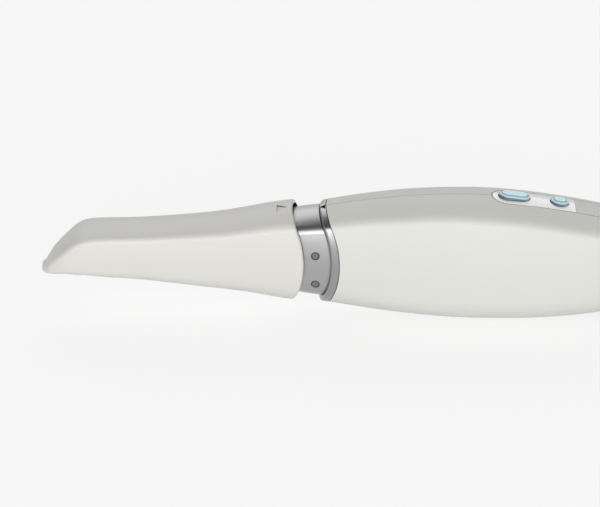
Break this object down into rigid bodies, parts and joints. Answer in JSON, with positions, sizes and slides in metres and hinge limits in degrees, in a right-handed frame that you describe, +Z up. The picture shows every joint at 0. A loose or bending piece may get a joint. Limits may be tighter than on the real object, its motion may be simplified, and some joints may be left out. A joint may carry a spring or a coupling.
{
  "type": "intraoral scanner",
  "caption": "Handheld intraoral scanner with a slip-on mirror tip, metal neck and collar, moulded white handle, two pale blue keys and a rear cable inlet",
  "frame": {"origin": "on the ground under the middle of the scanner's length, as it lies on its belly", "axes": "+X from the nose to the cable end, +Y across to the right housing, +Z up"},
  "size_m": [0.246, 0.0332, 0.0459],
  "materials": {
    "tip_white": "satin moulded white, slightly translucent",
    "handle_white": "satin moulded white",
    "panel_white": "satin white",
    "strip_grey": "satin grey",
    "cap_grey": "soft grey",
    "key_blue": "pale blue translucent",
    "neck_metal": "satin turned",
    "collar_metal": "satin anodised",
    "pad_grey": "matt",
    "snout_black": "matt black",
    "seal_black": "matt",
    "clear_glass": "coated, clear",
    "mirror_glass": "front silvered",
    "barrel_black": "black anodised",
    "frame_metal": "as cast",
    "sink_metal": "milled",
    "board_green": "solder mask",
    "chip_black": "moulded",
    "thermal_blue": "soft pad",
    "light_white": "light chip",
    "switch_metal": "switch body",
    "screw_steel": "plain",
    "contact_gold": "gold plated",
    "socket_black": "matt black"
  },
  "bodies": {
    "handle": {"left_housing": "handle_white", "right_housing": "handle_white", "button_panel": "panel_white", "rear_strip": "strip_grey", "rear_cap": "cap_grey", "scan_switch": "switch_metal", "mode_switch": "switch_metal", "neck_sleeve": "neck_metal", "collar_ring": "collar_metal", "grip_pads": "pad_grey", "snout_tube": "snout_black", "window_seal": "seal_black", "front_window": "clear_glass", "lens_barrel": "barrel_black", "front_lens": "clear_glass", "rear_lens": "clear_glass", "beam_splitter": "clear_glass", "camera_board": "board_green", "image_sensor": "chip_black", "projector_barrel": "barrel_black", "projector_lens": "clear_glass", "pattern_slide": "clear_glass", "light_board": "board_green", "light_source": "light_white", "optics_frame": "frame_metal", "main_board": "board_green", "main_processor": "chip_black", "board_chips": "chip_black", "cable_header": "chip_black", "thermal_pad": "thermal_blue", "heat_sink": "sink_metal", "button_board": "board_green", "cable_socket": "socket_black", "socket_contacts": "contact_gold", "frame_screws": "screw_steel", "board_screws": "screw_steel", "cap_screws": "screw_steel"},
    "tip": {"tip_shell": "tip_white", "tip_mirror": "mirror_glass"},
    "scan_key": {"scan_button": "key_blue", "scan_plunger": "chip_black"},
    "mode_key": {"mode_button": "key_blue", "mode_plunger": "chip_black"}
  },
  "joints": [
    {"name": "tip_slide", "type": "slide", "parent": "handle", "child": "tip", "axis": [-1, 0, 0], "range_m": [-0.0087, 0.06]},
    {"name": "scan_key_press", "type": "slide", "parent": "handle", "child": "scan_key", "axis": [-0.1368, 0, -0.9906], "range_m": [0, 0.0005], "stiffness_N_per_m": 600, "springref_m": -0.0003},
    {"name": "mode_key_press", "type": "slide", "parent": "handle", "child": "mode_key", "axis": [-0.1368, 0, -0.9906], "range_m": [0, 0.0005], "stiffness_N_per_m": 600, "springref_m": -0.0003}
  ]
}
